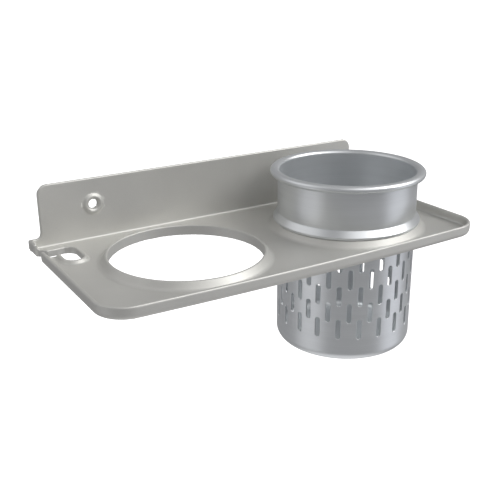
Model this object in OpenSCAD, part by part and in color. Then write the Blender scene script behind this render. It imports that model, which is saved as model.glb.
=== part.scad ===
// Wall-mounted hair dryer holder: a pressed aluminium tray bracket and a lift-out cup.
// +X runs right along the wall, the wall is the plane Y = 0, the tray reaches out along -Y, +Z is up.
// The origin is midway between the two screw holes, on the back face of the wall plate.

/* [Bracket sheet] */
// Thickness of the sheet metal
sheet_t = 2; // [1.6:0.1:2.4]
// Width of the wall plate
plate_w = 212; // [200:1:216]
// Height of the wall plate above the tray floor
plate_h = 35; // [30:1:50]
// Radius of the wall plate's top corners
plate_corner_r = 6; // [3:0.5:10]

/* [Tray] */
// Width of the tray over its rim
tray_w = 230; // [226:1:240]
// Distance of the tray's middle to the right of the screws' middle
tray_shift = 2; // [0:0.5:4]
// Reach of the tray from the wall at its middle
tray_reach = 114; // [110:1:120]
// Radius of the tray's front corners
tray_corner_r = 15.5; // [12:0.5:18]
// Radius of the gentle outward bow of the front edge
front_bow_r = 2100; // [1500:50:4000]
// Height of the rim over the tray floor
rim_h = 5.2; // [4:0.1:7]
// Tray floor below the screw holes
floor_drop = 20; // [16:0.5:24]
// Radius inside the bend between wall plate and floor
bend_r = 2.5; // [1.5:0.1:3]

/* [Round holes] */
// Radius of the dryer hole and of the cup hole
hole_r = 41.2; // [41:0.1:41.6]
// Distance of both hole centres from the wall
hole_out = 58; // [56:0.5:60]
// Dryer hole centre, to the left of the screws' middle
dryer_left = 46; // [45:0.5:48]
// Cup hole centre, to the right of the screws' middle
cup_right = 60; // [58:0.5:62]
// Height of the raised lips over the floor
lip_h = 4; // [3:0.1:4.6]
// Width of the concave foot outside each lip
lip_foot = 3; // [2:0.1:4]

/* [Cord keyhole] */
// Radius of the keyhole's round ends
key_r = 5; // [4.5:0.1:5.5]
// Keyhole centre line, to the left of the screws' middle
key_left = 97.5; // [96:0.5:99]
// Distance of the keyhole's back end centre from the wall
key_back = 18.3; // [17:0.1:19]
// Distance of the keyhole's front end centre from the wall
key_front = 29.3; // [26:0.1:32]
// Width of the slot that leads into the keyhole
slot_w = 5; // [4.5:0.1:6]
// Width of the slot's flared mouth in the rim
mouth_w = 12; // [8:0.5:13]
// Height of the keyhole's raised lip over the floor
key_lip_h = 2; // [1:0.1:3]
// Thickness of the keyhole's raised lip
key_lip_t = 1.3; // [1:0.1:1.5]

/* [Screw holes] */
// Distance between the two screw holes
screw_pitch = 150; // [120:1:160]
// Radius of a screw hole
screw_r = 2.6; // [2:0.1:2.8]
// Height of the dimple pressed around a screw hole
dimple_h = 1.2; // [0.6:0.1:1.6]
// Radius of the dimple's foot on the plate
dimple_foot_r = 6.6; // [5.5:0.1:8]
// Radius of the dimple's crest, where the countersink starts
dimple_crest_r = 4.2; // [3.6:0.1:4.8]

/* [Cup] */
// Outer radius of the cup wall
cup_r = 40.5; // [40:0.1:40.6]
// Thickness of the cup wall
cup_t = 1; // [0.8:0.1:1.2]
// Height of the cup's rim over the tray floor
cup_top = 34.6; // [28:0.2:40]
// Depth of the cup's base under the tray floor
cup_bottom = 71.7; // [66:0.1:80]
// Radius of the cup's bottom edge
cup_edge_r = 6; // [4:0.5:8]
// Half of the rolled rim's width
curl_half_w = 2.7; // [2.2:0.1:3]
// Half of the rolled rim's height
curl_half_h = 2.15; // [1.8:0.05:2.4]
// Radius of the stop bead that rests on the raised lip
bead_r = 43; // [42.6:0.1:43.2]
// Height of the stop bead's upright edge
bead_edge_h = 1.3; // [1:0.1:2]
// Height of the cone above the stop bead's edge
bead_cone_h = 3.6; // [2:0.1:5]

/* [Cup slots] */
// Number of slot columns around the cup, an even number
slot_columns = 42; // [36:2:44]
// Width of one slot
vent_w = 2.8; // [2:0.1:3.2]
// Height of one slot, round ends included
vent_h = 12.2; // [8:0.1:13]
// Rise from one slot to the next in a column
vent_rise = 20.4; // [18:0.1:22]
// Height of the lowest slots' middle over the cup's base
vent_low = 20.9; // [18:0.1:24]
// Turn of the slot pattern around the cup
vent_turn = 176.93; // [0:0.01:360]

/* [Hidden] */
overlap = 0.5;
cut = 1;
fine = 96;
arc_steps = 8;
floor_top = -floor_drop;
floor_under = floor_top - sheet_t;
tray_half = tray_w / 2;
corner_x = tray_half - tray_corner_r;
bow_angle = asin(corner_x / (front_bow_r - tray_corner_r));
bow_centre_y = front_bow_r - tray_reach;
corner_y = bow_centre_y - (front_bow_r - tray_corner_r) * cos(bow_angle);
lip_r = hole_r + sheet_t;
lip_round = sheet_t / 4;
slot_y = -key_back + key_r - slot_w / 2 - 0.3;
slot_end_x = -tray_half - cut + tray_shift;
mouth_depth = 4;
key_lip_end_y = -key_front + 3;
cup_base = floor_top - cup_bottom;
curl_r = cup_r - cup_t + curl_half_w;
curl_z = floor_top + cup_top - curl_half_h;
curl_gap_angle = 40;
bead_low = floor_top + lip_h;
bead_edge_top = bead_low + bead_edge_h;
bead_cone_top = bead_edge_top + bead_cone_h;
vent_step = 360 / slot_columns;

// Points on an arc about [x, y], from angle a to angle b.
function arc(x, y, r, a, b, steps = arc_steps) =
    [for (i = [0:steps]) [x + r * cos(a + (b - a) * i / steps), y + r * sin(a + (b - a) * i / steps)]];

// Points on an ellipse about [x, y] with half-axes p and q, from angle a to angle b.
function ellipse_arc(x, y, p, q, a, b, steps) =
    [for (i = [0:steps]) [x + p * cos(a + (b - a) * i / steps), y + q * sin(a + (b - a) * i / steps)]];

// Outline of the tray, moved inwards by the amount given.
function tray_outline(inset) = concat(
    [[-tray_half + inset, 0]],
    arc(-corner_x, corner_y, tray_corner_r - inset, 180, 270 - bow_angle),
    arc(0, bow_centre_y, front_bow_r - inset, 270 - bow_angle, 270 + bow_angle, 3 * arc_steps),
    arc(corner_x, corner_y, tray_corner_r - inset, 270 + bow_angle, 360),
    [[tray_half - inset, 0]]
);

// Profile of a raised lip: upright wall, rounded top edge and a concave foot on the floor.
function lip_profile() = concat(
    [[hole_r, floor_under + overlap], [hole_r, floor_top + lip_h - lip_round]],
    arc(hole_r + lip_round, floor_top + lip_h - lip_round, lip_round, 180, 90, 3),
    arc(lip_r - lip_round, floor_top + lip_h - lip_round, lip_round, 90, 0, 3),
    arc(lip_r + lip_foot, floor_top + lip_foot, lip_foot, 180, 270),
    [[lip_r + lip_foot, floor_under + overlap]]
);

// Profile of the cup: base, rounded edge, wall, stop bead, wall and rolled rim.
function cup_profile() = concat(
    [[0, cup_base]],
    arc(cup_r - cup_edge_r, cup_base + cup_edge_r, cup_edge_r, 270, 360),
    [[cup_r, bead_low], [bead_r, bead_low], [bead_r, bead_edge_top], [cup_r, bead_cone_top]],
    [[cup_r, curl_z]],
    ellipse_arc(curl_r, curl_z, curl_half_w - cup_t, curl_half_h - cup_t, 180, -180 + curl_gap_angle, 24),
    ellipse_arc(curl_r, curl_z, curl_half_w, curl_half_h, -180 + curl_gap_angle, 180, 32),
    arc(cup_r - cup_edge_r, cup_base + cup_edge_r, cup_edge_r - cup_t, 360, 270),
    [[0, cup_base + cup_t]]
);

// Keyhole and its slot as a flat shape, widened on every side by the amount given.
module key_shape(grow) {
    for (y = [-key_back, -key_front]) {
        translate([-key_left, y]) circle(r = key_r + grow, $fn = fine);
    }
    translate([-key_left - key_r - grow, -key_front]) square([2 * (key_r + grow), key_front - key_back]);
    translate([slot_end_x, slot_y - slot_w / 2 - grow]) square([-key_left - slot_end_x, slot_w + 2 * grow]);
}

// Flared mouth of the slot where it passes through the rim.
module mouth_shape() {
    x = slot_end_x;
    polygon([
        [x, slot_y - mouth_w / 2],
        [x + cut + sheet_t, slot_y - mouth_w / 2],
        [x + cut + sheet_t + mouth_depth, slot_y - slot_w / 2],
        [x + cut + sheet_t + mouth_depth, slot_y + slot_w / 2],
        [x + cut + sheet_t, slot_y + mouth_w / 2],
        [x, slot_y + mouth_w / 2]
    ]);
}

module wall_plate() {
    half = plate_w / 2;
    top = floor_top + plate_h;
    rotate([90, 0, 0]) linear_extrude(sheet_t) {
        polygon(concat(
            [[-half, floor_under], [half, floor_under]],
            arc(half - plate_corner_r, top - plate_corner_r, plate_corner_r, 0, 90),
            arc(-half + plate_corner_r, top - plate_corner_r, plate_corner_r, 90, 180)
        ));
        translate([tray_shift - tray_half, floor_under]) square([tray_w, sheet_t + rim_h]);
    }
}

module plate_bend() {
    length = tray_w - 2 * sheet_t;
    translate([tray_shift + length / 2, 0, 0]) rotate([90, 0, -90]) linear_extrude(length) {
        polygon(concat(
            [[sheet_t - overlap, floor_top - overlap], [sheet_t - overlap, floor_top + bend_r]],
            arc(sheet_t + bend_r, floor_top + bend_r, bend_r, 180, 270),
            [[sheet_t + bend_r, floor_top - overlap]]
        ));
    }
}

module tray() {
    translate([tray_shift, 0, floor_under]) linear_extrude(sheet_t) polygon(tray_outline(0));
    translate([tray_shift, 0, floor_under]) linear_extrude(sheet_t + rim_h) difference() {
        polygon(tray_outline(0));
        polygon(tray_outline(sheet_t));
    }
}

// Raised lip of the keyhole; it stops short of the tongue beside the slot.
module key_lip() {
    translate([0, 0, floor_top - overlap]) linear_extrude(key_lip_h + overlap) difference() {
        key_shape(key_lip_t);
        translate([slot_end_x - cut, slot_y]) square([cut + 2 * sheet_t, mouth_w]);
        translate([slot_end_x - cut, key_lip_end_y]) {
            square([-key_left - slot_end_x, slot_y - key_lip_end_y]);
        }
    }
}

// Dimple raised around a screw hole, standing on the front face of the plate.
module dimple() {
    rotate([90, 0, 0]) rotate_extrude($fn = fine) polygon([
        [screw_r, sheet_t - overlap],
        [screw_r, sheet_t],
        [dimple_crest_r, sheet_t + dimple_h],
        [dimple_foot_r, sheet_t],
        [dimple_foot_r, sheet_t - overlap]
    ]);
}

module bracket() {
    color([0.68, 0.68, 0.65]) difference() {
        union() {
            wall_plate();
            plate_bend();
            tray();
            key_lip();
            for (x = [-dryer_left, cup_right]) {
                translate([x, -hole_out, 0]) rotate_extrude($fn = fine) polygon(lip_profile());
            }
            for (side = [-1, 1]) {
                translate([side * screw_pitch / 2, 0, 0]) dimple();
            }
        }
        for (x = [-dryer_left, cup_right]) {
            translate([x, -hole_out, floor_under - cut]) {
                cylinder(r = hole_r, h = 2 * cut + sheet_t + lip_h, $fn = fine);
            }
        }
        for (side = [-1, 1]) {
            translate([side * screw_pitch / 2, cut, 0]) rotate([90, 0, 0]) {
                cylinder(r = screw_r, h = 2 * cut + sheet_t + dimple_h, $fn = fine);
            }
        }
        translate([0, 0, floor_under - cut]) linear_extrude(2 * cut + sheet_t + rim_h) {
            key_shape(0);
            mouth_shape();
        }
    }
}

// One upright slot with round ends, cut outwards through the cup wall.
module vent() {
    straight = vent_h - vent_w;
    translate([cup_r - 2 * cup_t, 0, 0]) rotate([90, 0, 90]) linear_extrude(4 * cup_t) {
        square([vent_w, straight], center = true);
        for (side = [-1, 1]) {
            translate([0, side * straight / 2]) circle(r = vent_w / 2, $fn = 24);
        }
    }
}

// Three slots in every second column, and two half a rise higher in the columns between.
module cup_vents() {
    for (column = [0:slot_columns - 1]) {
        lift = (column % 2) * vent_rise / 2;
        rows = 3 - column % 2;
        rotate([0, 0, vent_turn + column * vent_step]) {
            for (row = [0:rows - 1]) {
                translate([0, 0, cup_base + vent_low + lift + row * vent_rise]) vent();
            }
        }
    }
}

module cup() {
    color([0.72, 0.73, 0.76]) translate([cup_right, -hole_out, 0]) difference() {
        rotate_extrude($fn = fine) polygon(cup_profile());
        cup_vents();
    }
}

bracket();
cup();
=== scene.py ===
"""Looks of the wall-mounted hair dryer holder: finer bracket and cup meshes, materials, light and camera.

Lengths are in metres in Blender. The shape functions work in millimetres in the CAD frame, which has its
origin midway between the screw holes on the back of the wall plate, with the tray reaching out along -Y.
"""
import math

import bmesh
import bpy
import numpy as np
from mathutils import Matrix, Vector


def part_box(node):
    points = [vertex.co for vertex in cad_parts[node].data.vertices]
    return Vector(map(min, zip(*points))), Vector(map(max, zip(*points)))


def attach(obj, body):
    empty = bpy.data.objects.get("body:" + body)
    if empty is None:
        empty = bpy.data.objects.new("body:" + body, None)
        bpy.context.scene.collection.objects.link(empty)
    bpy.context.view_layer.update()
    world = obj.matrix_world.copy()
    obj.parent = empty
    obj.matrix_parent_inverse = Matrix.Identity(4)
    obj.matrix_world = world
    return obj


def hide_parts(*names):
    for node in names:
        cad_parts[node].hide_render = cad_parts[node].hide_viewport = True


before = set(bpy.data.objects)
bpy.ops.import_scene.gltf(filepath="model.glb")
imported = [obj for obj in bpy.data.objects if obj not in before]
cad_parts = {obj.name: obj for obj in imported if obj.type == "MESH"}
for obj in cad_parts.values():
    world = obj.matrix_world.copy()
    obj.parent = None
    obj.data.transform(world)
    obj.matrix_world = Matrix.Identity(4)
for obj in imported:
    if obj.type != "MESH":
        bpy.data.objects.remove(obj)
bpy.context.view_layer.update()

MM = 0.001

# ---------------------------------------------------------------- sizes, in millimetres

bracket_low, bracket_high = (np.array(corner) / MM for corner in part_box("bracket"))
cup_low, cup_high = (np.array(corner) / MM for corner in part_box("cup"))

SHEET_T = 2.0
EDGE_R = 0.8

TRAY_HALF = (bracket_high[0] - bracket_low[0]) / 2
TRAY_MID = (bracket_high[0] + bracket_low[0]) / 2
TRAY_LEFT = TRAY_MID - TRAY_HALF
TRAY_REACH = -bracket_low[1]
TRAY_CORNER_R = 15.5
FRONT_BOW_R = 2100.0
FLOOR_UNDER = bracket_low[2]
FLOOR_TOP = FLOOR_UNDER + SHEET_T
RIM_H = 5.2
RIM_TOP = FLOOR_TOP + RIM_H
PAN_EDGE_R = 3.4
PAN_BACK_R = 1.0
BEND_R = 1.0

PLATE_HALF = 106.0
PLATE_TOP = bracket_high[2]
PLATE_CORNER_R = 6.0
PLATE_EDGE_R = 0.7
FOOT_FILLET_R = 3.0
FOOT_BACK_RISE = 1.0

HOLE_R = 41.2
HOLE_Y = -58.0
HOLE_EDGE_R = 0.5
DRYER_X = -46.0
CUP_X = (cup_low[0] + cup_high[0]) / 2
LIP_H = 4.0
LIP_TOP = FLOOR_TOP + LIP_H
LIP_TOP_W = 1.2
LIP_TOP_R = 0.45
LIP_FLANK_W = 3.0
LIP_SLOPE = math.hypot(LIP_H, LIP_FLANK_W)
LIP_BASE_W = LIP_TOP_W + LIP_FLANK_W + SHEET_T
LIP_FOOT_R = 1.3

KEY_X = -97.5
KEY_R = 5.0
KEY_BACK_Y = -18.3
KEY_FRONT_Y = -29.3
KEY_EDGE_R = 0.6
SLOT_W = 5.0
SLOT_INSET = 0.3
SLOT_Y = KEY_BACK_Y + KEY_R - SLOT_W / 2 - SLOT_INSET
SLOT_CORNER_R = 1.2
MOUTH_W = 12.0
MOUTH_END = 6.5
MOUTH_LENGTH = 4.5
KEY_LIP_TOP = FLOOR_TOP + 2.0
KEY_LIP_W = 1.7
KEY_LIP_FOOT_R = 2.2
KEY_LIP_START = 2.5
KEY_LIP_END_Y = -21.0

SCREW_X = 75.0
SCREW_R = 2.6
SCREW_EDGE_R = 0.4
DIMPLE_H = 1.2
DIMPLE_HOLLOW = 0.6
DIMPLE_CREST_R = 4.2
DIMPLE_FOOT_R = 6.6

CUP_R = 40.5
CUP_T = 1.0
CUP_INNER_R = CUP_R - CUP_T
CUP_BASE = cup_low[2]
CUP_EDGE_R = 6.0
CURL_HALF_W = 2.7
CURL_HALF_H = 2.15
CURL_END = -140
BEAD_R = 43.0
BEAD_LOW = LIP_TOP
BEAD_TOP = BEAD_LOW + 1.3
BEAD_CONE_H = 3.6
BEAD_ROOT_R, BEAD_LOW_R, BEAD_TOP_R, BEAD_CONE_R = 0.25, 0.3, 0.45, 1.2

VENT_COLUMNS = 42
VENT_W = 2.8
VENT_H = 12.2
VENT_RISE = 20.4
VENT_LOW = 20.9
VENT_EDGE = 0.28
VENT_BEVEL = 0.08
VENT_TURN = math.radians(176.93)

FINE_CELL, QUICK_CELL = 0.7, 1.0
NORMAL_STEP = 0.05
LEAST_SLOPE = 0.2
LONGEST_MOVE = 0.3


# ---------------------------------------------------------------- bracket shape as a distance function

def round_min(a, b, r):
    """Union of two distances with a concave fillet of radius r."""
    u, v = np.maximum(r - a, 0), np.maximum(r - b, 0)
    return np.maximum(r, np.minimum(a, b)) - np.hypot(u, v)


def round_max(a, b, r):
    """Intersection of two distances with a rounded edge of radius r."""
    u, v = np.maximum(r + a, 0), np.maximum(r + b, 0)
    return np.minimum(-r, np.maximum(a, b)) + np.hypot(u, v)


def box_2d(u, v, half_u, half_v, r):
    """Distance to a rectangle about the origin with corners rounded to radius r."""
    a, b = np.abs(u) - half_u + r, np.abs(v) - half_v + r
    return np.hypot(np.maximum(a, 0), np.maximum(b, 0)) + np.minimum(np.maximum(a, b), 0) - r


def tray_plan(x, y):
    """Distance to the tray's outline: straight sides, round corners and a bowed front."""
    corner_x = TRAY_HALF - TRAY_CORNER_R
    inner_r = FRONT_BOW_R - TRAY_CORNER_R
    side = np.abs(x - TRAY_MID) - corner_x
    front = np.hypot(x - TRAY_MID, y - (FRONT_BOW_R - TRAY_REACH)) - inner_r
    corner = np.hypot(np.maximum(side, 0), np.maximum(front, 0))
    return corner + np.minimum(np.maximum(side, front), 0) - TRAY_CORNER_R


def pan(x, y, z):
    """Distance to the floor and its upturned rim, which end at the back in the foot of the wall plate."""
    plan = tray_plan(x, y)
    behind = round_max(y, FLOOR_UNDER - z, BEND_R + SHEET_T)
    outside = round_max(round_max(plan, FLOOR_UNDER - z, PAN_EDGE_R), behind, PAN_BACK_R)
    inside = round_max(plan + SHEET_T, FLOOR_TOP - z, PAN_EDGE_R - SHEET_T)
    inside = round_max(inside, y + SHEET_T, BEND_R)
    return round_max(np.maximum(outside, -inside), z - RIM_TOP, EDGE_R)


def dimple_height(r):
    """Height of the dimple pressed around a screw hole, at distance r from its middle."""
    fall = np.clip((r - DIMPLE_CREST_R) / (DIMPLE_FOOT_R - DIMPLE_CREST_R), 0, 1)
    rise = np.clip((r - SCREW_R) / (DIMPLE_CREST_R - SCREW_R), 0, 1)
    return DIMPLE_H * (0.5 + 0.5 * np.cos(math.pi * fall)) * np.sin(rise * math.pi / 2)


def wall_plate(x, y, z):
    """Distance to the upright plate, with its wider foot, round top corners and two dimpled screw holes."""
    half_z = (PLATE_TOP - FLOOR_UNDER) / 2
    upright = box_2d(x, z - PLATE_TOP + half_z, PLATE_HALF, half_z, PLATE_CORNER_R)
    foot = box_2d(x - TRAY_MID, z - FLOOR_TOP, TRAY_HALF, RIM_H, EDGE_R)
    screw = np.hypot(np.abs(x) - SCREW_X, z)
    height = dimple_height(screw)
    slab = np.maximum(-y - SHEET_T - height, y + DIMPLE_HOLLOW * height)
    plate = round_max(slab, round_min(upright, foot, FOOT_FILLET_R), PLATE_EDGE_R)
    plate = np.maximum(plate, round_max(y, FLOOR_UNDER + FOOT_BACK_RISE - z, BEND_R + SHEET_T))
    return round_max(plate, SCREW_R - screw, SCREW_EDGE_R)


def key_plan(x, y):
    """Distance to the outline of the cord keyhole, its slot and the slot's flared mouth."""
    along = np.clip(y, KEY_FRONT_Y, KEY_BACK_Y)
    hole = np.hypot(x - KEY_X, y - along) - KEY_R
    flare = np.clip((TRAY_LEFT + MOUTH_END - x) / MOUTH_LENGTH, 0, 1)
    half = SLOT_W / 2 + (MOUTH_W - SLOT_W) / 2 * flare ** 2 * (3 - 2 * flare)
    slot = np.maximum(np.abs(y - SLOT_Y) - half, x - KEY_X)
    return round_min(hole, slot, SLOT_CORNER_R)


def hole_lip(radial, z):
    """Distance to the raised lip of a round hole: a flat top and a sloping flank."""
    flank = ((radial - LIP_TOP_W) * LIP_H + (z - LIP_TOP) * LIP_FLANK_W) / LIP_SLOPE
    return np.maximum(round_max(flank, z - LIP_TOP, LIP_TOP_R), radial - LIP_BASE_W)


def key_lip(key, x, y, z):
    """Distance to the keyhole's raised lip, which is left out along the front of the slot."""
    half = (KEY_LIP_TOP - FLOOR_UNDER) / 2
    lip = box_2d(key, z - (KEY_LIP_TOP + FLOOR_UNDER) / 2, KEY_LIP_W, half, EDGE_R)
    gap = round_max(round_max(KEY_LIP_END_Y - y, x - KEY_X, EDGE_R), y - SLOT_Y, EDGE_R)
    return np.maximum(round_max(lip, -gap, EDGE_R), TRAY_LEFT + KEY_LIP_START - x)


def bracket_distance(p):
    """Distance to the whole bracket, for points given along the last axis."""
    x, y, z = p[..., 0], p[..., 1], p[..., 2]
    under = FLOOR_UNDER - z
    body = np.minimum(pan(x, y, z), wall_plate(x, y, z))
    for centre_x in (DRYER_X, CUP_X):
        radial = np.hypot(x - centre_x, y - HOLE_Y) - HOLE_R
        body = round_min(body, np.maximum(hole_lip(radial, z), under), LIP_FOOT_R)
        body = round_max(np.maximum(body, under), -radial, HOLE_EDGE_R)
    key = key_plan(x, y)
    body = np.maximum(round_min(body, key_lip(key, x, y, z), KEY_LIP_FOOT_R), under)
    return round_max(body, -key, KEY_EDGE_R)


# ---------------------------------------------------------------- mesh of a distance function

def gradient(distance, p, step=0.02):
    """Direction in which a distance function grows, by central differences."""
    columns = []
    for axis in range(3):
        shift = np.zeros(3)
        shift[axis] = step
        columns.append((distance(p + shift) - distance(p - shift)) / (2 * step))
    return np.stack(columns, axis=-1)


def settle(distance, p, passes=3):
    """Moves points onto the surface where the distance is zero."""
    for _ in range(passes):
        slope = gradient(distance, p)
        squared = np.maximum((slope ** 2).sum(-1), LEAST_SLOPE)
        p = p - slope * np.clip(distance(p) / squared, -LONGEST_MOVE, LONGEST_MOVE)[..., None]
    return p


def surface_net(distance, low, high, cell):
    """Vertices and quads of the surface where the distance is zero, from a grid with cells of that size."""
    counts = np.ceil((high - low) / cell).astype(int) + 1
    axes = [low[k] + cell * np.arange(counts[k]) for k in range(3)]
    x, y = np.meshgrid(axes[0], axes[1], indexing="ij")
    values = np.empty(counts, np.float32)
    for k, z in enumerate(axes[2]):
        values[:, :, k] = distance(np.stack([x, y, np.full_like(x, z)], axis=-1))
    inside = values < 0
    total = np.zeros(counts - 1, int)
    for corner in range(8):
        cut = tuple(slice(corner >> k & 1, counts[k] - 1 + (corner >> k & 1)) for k in range(3))
        total += inside[cut]
    crossed = (total > 0) & (total < 8)
    cells = np.argwhere(crossed)
    number = np.full(counts - 1, -1)
    number[crossed] = np.arange(len(cells))
    points = settle(distance, low + cell * (cells + 0.5))
    quads = []
    for axis in range(3):
        a, b = (axis + 1) % 3, (axis + 2) % 3
        here = [slice(1, n - 1) for n in counts]
        here[axis] = slice(0, counts[axis] - 1)
        there = list(here)
        there[axis] = slice(1, counts[axis])
        start, end = inside[tuple(here)], inside[tuple(there)]
        for flipped in (False, True):
            edges = np.argwhere((start != end) & (end == flipped))
            edges[:, a] += 1
            edges[:, b] += 1
            ring = []
            for back_a, back_b in ((1, 1), (0, 1), (0, 0), (1, 0)):
                around = edges.copy()
                around[:, a] -= back_a
                around[:, b] -= back_b
                ring.append(number[tuple(around.T)])
            quads.append(np.stack(ring[::-1] if flipped else ring, axis=-1))
    return points, np.concatenate(quads)


def mesh_object(name, points, faces, normals, place=(0.0, 0.0, 0.0)):
    """A smooth mesh with its own normals, from points in millimetres, with its origin at the place."""
    mesh = bpy.data.meshes.new(name)
    mesh.from_pydata(((points - np.array(place)) * MM).tolist(), [], [list(map(int, f)) for f in faces])
    mesh.polygons.foreach_set("use_smooth", [True] * len(mesh.polygons))
    mesh.normals_split_custom_set_from_vertices(normals.tolist())
    mesh.update()
    piece = bpy.data.objects.new(name, mesh)
    piece.location = Vector(place) * MM
    bpy.context.scene.collection.objects.link(piece)
    return piece


def make_bracket():
    """The bracket's mesh, with normals taken from its distance function."""
    cell = FINE_CELL
    points, quads = surface_net(bracket_distance, bracket_low - 2 * cell, bracket_high + 2 * cell, cell)
    normals = gradient(bracket_distance, points, NORMAL_STEP)
    normals /= np.linalg.norm(normals, axis=1, keepdims=True)
    return mesh_object("bracket_sheet", points, quads, normals)


# ---------------------------------------------------------------- cup as a turned profile with a pierced band

def rounded(corners, steps=5):
    """Points and right-hand normals along straight lines whose corners (r, z, radius) are rounded."""
    points = [np.array(corners[0][:2], float)]
    normals = []
    for before, here, after in zip(corners, corners[1:], corners[2:]):
        a, b, c = (np.array(corner[:2], float) for corner in (before, here, after))
        u, v = (b - a) / np.linalg.norm(b - a), (c - b) / np.linalg.norm(c - b)
        turn = math.atan2(u[0] * v[1] - u[1] * v[0], u @ v)
        reach = here[2] * abs(math.tan(turn / 2))
        side = np.array([-u[1], u[0]]) * math.copysign(1, turn)
        middle = b - u * reach + side * here[2]
        if not normals:
            normals.append(np.array([u[1], -u[0]]))
        for k in range(steps + 1):
            angle = turn * k / steps
            swing = np.array([[math.cos(angle), -math.sin(angle)], [math.sin(angle), math.cos(angle)]])
            points.append(middle - swing @ side * here[2])
            ahead = swing @ u
            normals.append(np.array([ahead[1], -ahead[0]]))
    points.append(np.array(corners[-1][:2], float))
    normals.append(normals[-1])
    return list(zip(points, normals))


def ellipse(centre, half_w, half_h, start, end, outward, steps):
    """Points and normals along part of an ellipse, from one angle to another in degrees."""
    found = []
    for k in range(steps + 1):
        t = math.radians(start + (end - start) * k / steps)
        normal = np.array([math.cos(t) / half_w, math.sin(t) / half_h]) * outward
        point = np.array([centre[0] + half_w * math.cos(t), centre[1] + half_h * math.sin(t)])
        found.append((point, normal / np.linalg.norm(normal)))
    return found


COLUMN_STEPS = 4
RISE_STEPS = 12
HALF_RISE = RISE_STEPS // 2
SEGMENTS = COLUMN_STEPS * VENT_COLUMNS
ROWS = 3 * RISE_STEPS
BAND_LOW = CUP_BASE + VENT_LOW - VENT_RISE / 2
BAND_HIGH = BAND_LOW + 3 * VENT_RISE
COLUMN_TURN = 2 * math.pi / VENT_COLUMNS


def ring_angle(k):
    """Angle of a ring's point, counted from the left side of the first column of slots."""
    return VENT_TURN + COLUMN_TURN * (k / COLUMN_STEPS - 0.5)


class TurnedMesh:
    """Collects points given by radius, angle and height, with normals given the same way."""

    def __init__(self):
        self.points, self.normals, self.faces = [], [], []

    def add(self, radius, angle, z, out, along, up):
        """One point, with its normal split into outwards, along the ring and upwards."""
        c, s = math.cos(angle), math.sin(angle)
        self.points.append((radius * c, radius * s, z))
        self.normals.append((out * c - along * s, out * s + along * c, up))
        return len(self.points) - 1

    def ring(self, point, normal):
        """One point per segment around the axis, or a single one on the axis."""
        if point[0] < 1e-9:
            return [self.add(0, 0, point[1], 0, 0, math.copysign(1, normal[1]))] * SEGMENTS
        angles = [ring_angle(k) for k in range(SEGMENTS)]
        return [self.add(point[0], a, point[1], normal[0], 0, normal[1]) for a in angles]

    def skin(self, lower, upper):
        """Faces between two rings, the second one later along the profile."""
        for k in range(len(lower)):
            n = (k + 1) % len(lower)
            corners = dict.fromkeys((lower[k], lower[n], upper[n], upper[k]))
            self.faces.append(tuple(corners))

    def profile(self, stations, first=None, last=None):
        """Faces along a run of the profile, which may start and end on rings that are already there."""
        new = stations[(1 if first else 0):(-1 if last else None)]
        rings = [self.ring(*station) for station in new]
        rings = ([first] if first else []) + rings + ([last] if last else [])
        for lower, upper in zip(rings, rings[1:]):
            self.skin(lower, upper)


def obround(extra):
    """A slot's outline, widened by a margin: 32 points (sideways, upwards, normal), from its lower left."""
    half = (VENT_H - VENT_W) / 2
    radius = VENT_W / 2 + extra
    turns = [(225 + 22.5 * k, -half) for k in range(7)]
    turns += [(0, -half + k * half / 4) for k in range(1, 9)]
    turns += [(22.5 * k, half) for k in range(1, 9)]
    turns += [(180, half - k * half / 4) for k in range(1, 9)]
    turns += [(202.5, -half)]
    found = []
    for angle, level in turns:
        c, s = math.cos(math.radians(angle)), math.sin(math.radians(angle))
        found.append((radius * c, level + radius * s, c, s))
    return found


def wall_grid(made, radius, out):
    """Rings of points over the height of the pierced band, on the outer or the inner wall."""
    heights = [BAND_LOW + VENT_RISE * row / RISE_STEPS for row in range(ROWS + 1)]
    return [made.ring((radius, height), (out, 0)) for height in heights]


def plain_faces(made, grid, left, inwards):
    """Faces of the half pitches without a slot, at the bottom and top of a staggered column."""
    for row in (*range(HALF_RISE), *range(ROWS - HALF_RISE, ROWS)):
        for k in range(left, left + COLUMN_STEPS):
            n = (k + 1) % SEGMENTS
            face = (grid[row][k], grid[row][n], grid[row + 1][n], grid[row + 1][k])
            made.faces.append(face[::-1] if inwards else face)


def slot_border(grid, left, start):
    """The grid's points around one slot: bottom, right, top and left, as in its outline."""
    right, top = (left + COLUMN_STEPS) % SEGMENTS, start + RISE_STEPS
    border = [grid[start][(left + k) % SEGMENTS] for k in range(COLUMN_STEPS)]
    border += [grid[start + k][right] for k in range(RISE_STEPS)]
    border += [grid[top][(left + COLUMN_STEPS - k) % SEGMENTS] for k in range(COLUMN_STEPS)]
    border += [grid[top - k][left] for k in range(RISE_STEPS)]
    return border


# A slot's edge through the wall: radius, widening, and the normal's shares outwards and into the slot.
SLOT_STAGES = [
    (CUP_R, VENT_EDGE, 1, 0),
    (CUP_R - VENT_BEVEL, VENT_BEVEL, 0.7, 0.7),
    (CUP_R - VENT_EDGE, 0, 0, 1),
    (CUP_INNER_R + VENT_EDGE, 0, 0, 1),
    (CUP_INNER_R + VENT_BEVEL, VENT_BEVEL, -0.7, 0.7),
    (CUP_INNER_R, VENT_EDGE, -1, 0),
]


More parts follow.
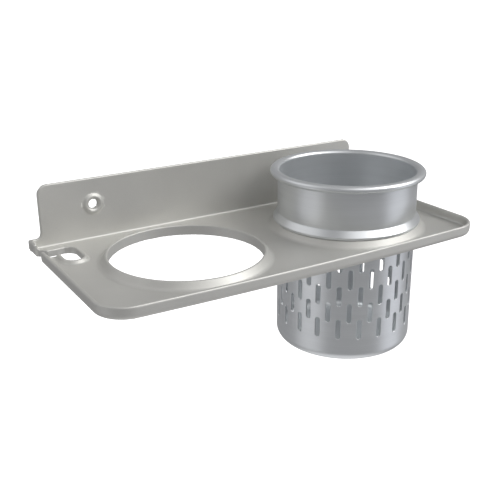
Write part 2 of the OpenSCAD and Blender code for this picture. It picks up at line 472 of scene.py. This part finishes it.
def pierced_band(made, outer, inner):
    """Fills the band between the grids of the outer and inner wall, with slots in staggered columns."""
    for column in range(VENT_COLUMNS):
        middle = VENT_TURN + COLUMN_TURN * column
        left = COLUMN_STEPS * column
        staggered = column % 2
        if staggered:
            plain_faces(made, outer, left, False)
            plain_faces(made, inner, left, True)
        for start in range(HALF_RISE * staggered, ROWS - RISE_STEPS + 1, RISE_STEPS):
            height = BAND_LOW + (start + HALF_RISE) * VENT_RISE / RISE_STEPS
            rings = [slot_border(outer, left, start)]
            for radius, extra, out, across in SLOT_STAGES:
                rings.append([
                    made.add(radius, middle + u / CUP_R, height + v, out, -across * a, -across * b)
                    for u, v, a, b in obround(extra)])
            rings.append(slot_border(inner, left, start))
            for lower, upper in zip(rings, rings[1:]):
                made.skin(lower, upper)


def make_cup():
    """The cup's mesh: pierced band, base, bead, rolled rim and inside, with its origin on its axis."""
    made = TurnedMesh()
    outer, inner = wall_grid(made, CUP_R, 1), wall_grid(made, CUP_INNER_R, -1)
    pierced_band(made, outer, inner)
    base = [(0, CUP_BASE, 0), (CUP_R, CUP_BASE, CUP_EDGE_R), (CUP_R, BAND_LOW, 0)]
    made.profile(rounded(base, steps=10), last=outer[0])
    curl = (CUP_INNER_R + CURL_HALF_W, cup_high[2] - CURL_HALF_H)
    upper_wall = rounded([
        (CUP_R, BAND_HIGH, 0), (CUP_R, BEAD_LOW, BEAD_ROOT_R), (BEAD_R, BEAD_LOW, BEAD_LOW_R),
        (BEAD_R, BEAD_TOP, BEAD_TOP_R), (CUP_R, BEAD_TOP + BEAD_CONE_H, BEAD_CONE_R), (CUP_R, curl[1], 0)])
    curl_inside = ellipse(curl, CURL_HALF_W - CUP_T, CURL_HALF_H - CUP_T, 180, CURL_END, outward=-1, steps=32)
    curl_outside = ellipse(curl, CURL_HALF_W, CURL_HALF_H, CURL_END, 180, outward=1, steps=48)
    inside_end = (np.array([CUP_INNER_R, BAND_HIGH]), None)
    made.profile(upper_wall[:-1] + curl_inside + curl_outside + [inside_end], first=outer[-1], last=inner[-1])
    low = CUP_BASE + CUP_T
    inside_base = [(CUP_INNER_R, BAND_LOW, 0), (CUP_INNER_R, low, CUP_EDGE_R - CUP_T), (0, low, 0)]
    made.profile(rounded(inside_base, steps=10), first=inner[0])
    place = np.array([CUP_X, HOLE_Y, 0.0])
    used = sorted({k for face in made.faces for k in face})
    number = {k: n for n, k in enumerate(used)}
    points = np.array(made.points)[used] + place
    normals = np.array(made.normals)[used]
    normals /= np.linalg.norm(normals, axis=1, keepdims=True)
    faces = [[number[k] for k in face] for face in made.faces]
    return mesh_object("cup_shell", points, faces, normals, place)


# ---------------------------------------------------------------- materials

class Nodes:
    """A material with a Principled shader, and short ways to add and link its nodes."""

    def __init__(self, name, colour, metallic, roughness):
        self.material = bpy.data.materials.new(name)
        self.material.use_nodes = True
        self.tree = self.material.node_tree
        self.shader = self.tree.nodes["Principled BSDF"]
        self.shader.inputs["Metallic"].default_value = metallic
        self.shader.inputs["Roughness"].default_value = roughness
        self.shader.inputs["Base Color"].default_value = (*colour, 1)
        self.place = self.tree.nodes.new("ShaderNodeTexCoord").outputs["Object"]

    def noise(self, scale, detail=4.0, stretch=(1, 1, 1)):
        """Noise with that many waves in a metre, squeezed or stretched along the axes."""
        mapping = self.tree.nodes.new("ShaderNodeMapping")
        mapping.inputs["Scale"].default_value = stretch
        texture = self.tree.nodes.new("ShaderNodeTexNoise")
        texture.inputs["Scale"].default_value = scale
        texture.inputs["Detail"].default_value = detail
        self.tree.links.new(self.place, mapping.inputs["Vector"])
        self.tree.links.new(mapping.outputs["Vector"], texture.inputs["Vector"])
        return texture.outputs["Fac"]

    def span(self, source, from_low, from_high, to_low, to_high):
        """A value taken from one range to another and kept within it."""
        node = self.tree.nodes.new("ShaderNodeMapRange")
        node.inputs["From Min"].default_value = from_low
        node.inputs["From Max"].default_value = from_high
        node.inputs["To Min"].default_value = to_low
        node.inputs["To Max"].default_value = to_high
        self.tree.links.new(source, node.inputs["Value"])
        return node.outputs["Result"]

    def sum(self, first, second):
        """Two values added."""
        node = self.tree.nodes.new("ShaderNodeMath")
        node.operation = "ADD"
        self.tree.links.new(first, node.inputs[0])
        self.tree.links.new(second, node.inputs[1])
        return node.outputs["Value"]

    def mix(self, factor, first, second):
        """A colour between two colours, each given as numbers or as another node's output."""
        node = self.tree.nodes.new("ShaderNodeMix")
        node.data_type = "RGBA"
        self.tree.links.new(factor, node.inputs["Factor"])
        for socket, colour in ((node.inputs[6], first), (node.inputs[7], second)):
            if isinstance(colour, tuple):
                socket.default_value = (*colour, 1)
            else:
                self.tree.links.new(colour, socket)
        return node.outputs[2]

    def bump(self, height, strength, depth):
        """A normal from a height, with its depth in metres."""
        node = self.tree.nodes.new("ShaderNodeBump")
        node.inputs["Strength"].default_value = strength
        node.inputs["Distance"].default_value = depth
        self.tree.links.new(height, node.inputs["Height"])
        return node.outputs["Normal"]

    def pointiness(self):
        """How sharp the surface is: 0.5 where it is flat, more on outer edges."""
        return self.tree.nodes.new("ShaderNodeNewGeometry").outputs["Pointiness"]

    def connect(self, socket, source):
        """Links a value or colour to the shader."""
        self.tree.links.new(source, self.shader.inputs[socket])


def shade(colour, factor):
    """A colour made darker or lighter."""
    return tuple(min(1.0, c * factor) for c in colour)


def bracket_material():
    """Bead-blasted, clear-anodised aluminium: a fine even grain, faint clouding and a painted highlight along
    outer edges.
    """
    colour = (0.60, 0.595, 0.57)
    made = Nodes("bracket_finish", colour, 0.6, 0.52)
    clouds = made.span(made.noise(28, 5), 0.3, 0.7, 0, 1)
    tone = made.mix(clouds, shade(colour, 0.965), shade(colour, 1.035))
    grain = made.noise(2600, 2)
    tone = made.mix(made.span(grain, 0.35, 0.65, 0, 0.35), tone, shade(colour, 1.12))
    # painted highlight: outer edges, found by pointiness, are made lighter as if they caught the light
    tone = made.mix(made.span(made.pointiness(), 0.52, 0.62, 0, 0.3), tone, shade(colour, 1.12))
    made.connect("Base Color", tone)
    made.connect("Roughness", made.span(made.noise(60, 4), 0.3, 0.7, 0.48, 0.56))
    made.connect("Normal", made.bump(grain, 0.25, 0.00004))
    return made.material


def cup_material():
    """Satin-anodised aluminium turned on a lathe: fine lines around the wall, faint handling marks and a
    painted highlight along outer edges.
    """
    colour = (0.765, 0.785, 0.80)
    made = Nodes("cup_finish", colour, 0.82, 0.36)
    lines = made.noise(1.0, 3, (40, 40, 5200))
    broad = made.noise(1.0, 3, (9, 9, 240))
    bands = made.span(made.sum(lines, broad), 0.6, 1.4, 0, 1)
    tone = made.mix(bands, shade(colour, 0.955), shade(colour, 1.045))
    # painted highlight: outer edges, found by pointiness, are made lighter as if they caught the light
    tone = made.mix(made.span(made.pointiness(), 0.53, 0.64, 0, 0.3), tone, shade(colour, 1.2))
    made.connect("Base Color", tone)
    marks = made.span(made.noise(45, 5), 0.3, 0.7, -0.025, 0.03)
    made.connect("Roughness", made.sum(made.span(lines, 0.3, 0.7, 0.31, 0.37), marks))
    made.connect("Normal", made.bump(lines, 0.12, 0.00003))
    return made.material


def add_piece(piece, body, node, material):
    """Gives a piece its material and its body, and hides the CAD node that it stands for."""
    piece.data.materials.append(material)
    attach(piece, body)
    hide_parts(node)


add_piece(make_bracket(), "bracket_body", "bracket", bracket_material())
add_piece(make_cup(), "cup_body", "cup", cup_material())


# ---------------------------------------------------------------- stage, light and camera

def camera_only(piece):
    """The stage is seen but doesn't light the object: the world does that alone."""
    for kind in ("diffuse", "glossy", "transmission", "volume_scatter", "shadow"):
        setattr(piece, f"visible_{kind}", False)


def add_stage(floor_depth, radius):
    """A pale floor under a pale round backdrop, both evenly lit."""
    made = Nodes("stage_white", (0.5, 0.5, 0.5), 0.0, 0.8)
    made.shader.inputs["Emission Color"].default_value = (1, 1, 1, 1)
    made.shader.inputs["Emission Strength"].default_value = 1.0
    half = radius * 0.8
    corners = [(-half, -half, floor_depth), (half, -half, floor_depth),
               (half, half, floor_depth), (-half, half, floor_depth)]
    floor_mesh = bpy.data.meshes.new("floor")
    floor_mesh.from_pydata(corners, [], [(0, 1, 2, 3)])
    backdrop_mesh = bpy.data.meshes.new("backdrop")
    shell = bmesh.new()
    bmesh.ops.create_icosphere(shell, subdivisions=4, radius=radius)
    shell.to_mesh(backdrop_mesh)
    shell.free()
    for name, mesh in (("floor", floor_mesh), ("backdrop", backdrop_mesh)):
        mesh.materials.append(made.material)
        piece = bpy.data.objects.new(name, mesh)
        bpy.context.scene.collection.objects.link(piece)
        camera_only(piece)


def direction(azimuth, elevation):
    """Unit vector towards a place round the object: azimuth 0 is in front, 90 to the right."""
    a, e = math.radians(azimuth), math.radians(elevation)
    return Vector((math.sin(a) * math.cos(e), -math.cos(a) * math.cos(e), math.sin(e)))


SOFTBOX_CORE = 0.35


def add_world(base, softboxes):
    """Even light of one colour, plus round softboxes (azimuth, elevation, radius in degrees, colour)."""
    world = bpy.data.worlds.new("studio")
    world.use_nodes = True
    tree = world.node_tree
    facing = tree.nodes.new("ShaderNodeTexCoord").outputs["Generated"]
    total = tree.nodes.new("ShaderNodeCombineXYZ")
    for socket, value in zip(total.inputs, base):
        socket.default_value = value
    total = total.outputs["Vector"]
    for azimuth, elevation, radius, colour in softboxes:
        dot = tree.nodes.new("ShaderNodeVectorMath")
        dot.operation = "DOT_PRODUCT"
        dot.inputs[1].default_value = direction(azimuth, elevation)
        tree.links.new(facing, dot.inputs[0])
        falloff = tree.nodes.new("ShaderNodeMapRange")
        falloff.interpolation_type = "SMOOTHSTEP"
        falloff.inputs["From Min"].default_value = math.cos(math.radians(radius))
        falloff.inputs["From Max"].default_value = math.cos(math.radians(radius * SOFTBOX_CORE))
        tree.links.new(dot.outputs["Value"], falloff.inputs["Value"])
        glow = tree.nodes.new("ShaderNodeVectorMath")
        glow.operation = "MULTIPLY_ADD"
        glow.inputs[0].default_value = colour
        tree.links.new(falloff.outputs["Result"], glow.inputs[1])
        tree.links.new(total, glow.inputs[2])
        total = glow.outputs["Vector"]
    tree.links.new(total, tree.nodes["Background"].inputs["Color"])
    bpy.context.scene.world = world


def add_camera(aim, distance, azimuth, elevation, roll, lens):
    """A camera at a distance from its aim, in metres, with angles in degrees and lens in millimetres."""
    back = direction(azimuth, elevation)
    camera = bpy.data.objects.new("camera", bpy.data.cameras.new("camera"))
    camera.data.lens = lens
    camera.data.sensor_width = 36.0
    turn = (-back).to_track_quat("-Z", "Y").to_matrix() @ Matrix.Rotation(math.radians(roll), 3, "Z")
    camera.matrix_world = Matrix.Translation(Vector(aim) + back * distance) @ turn.to_4x4()
    bpy.context.scene.collection.objects.link(camera)
    bpy.context.scene.camera = camera


add_stage(-0.6, 8.0)
add_world((0.3, 0.3, 0.305), [
    (54, 42, 30, (3.9, 3.9, 3.85)),
    (5, 48, 34, (0.95, 0.95, 0.95)),
    (-120, 40, 36, (0.6, 0.6, 0.6)),
    (-95, -20, 30, (0.45, 0.45, 0.46)),
    (54, -20, 28, (0.5, 0.51, 0.55)),
    (0, -90, 45, (0.55, 0.55, 0.55)),
])
add_camera((0.0, -0.047, -0.0286), 0.45, -31.49, 20.52, -0.4, 56.58)
bpy.context.scene.view_settings.view_transform = "Standard"
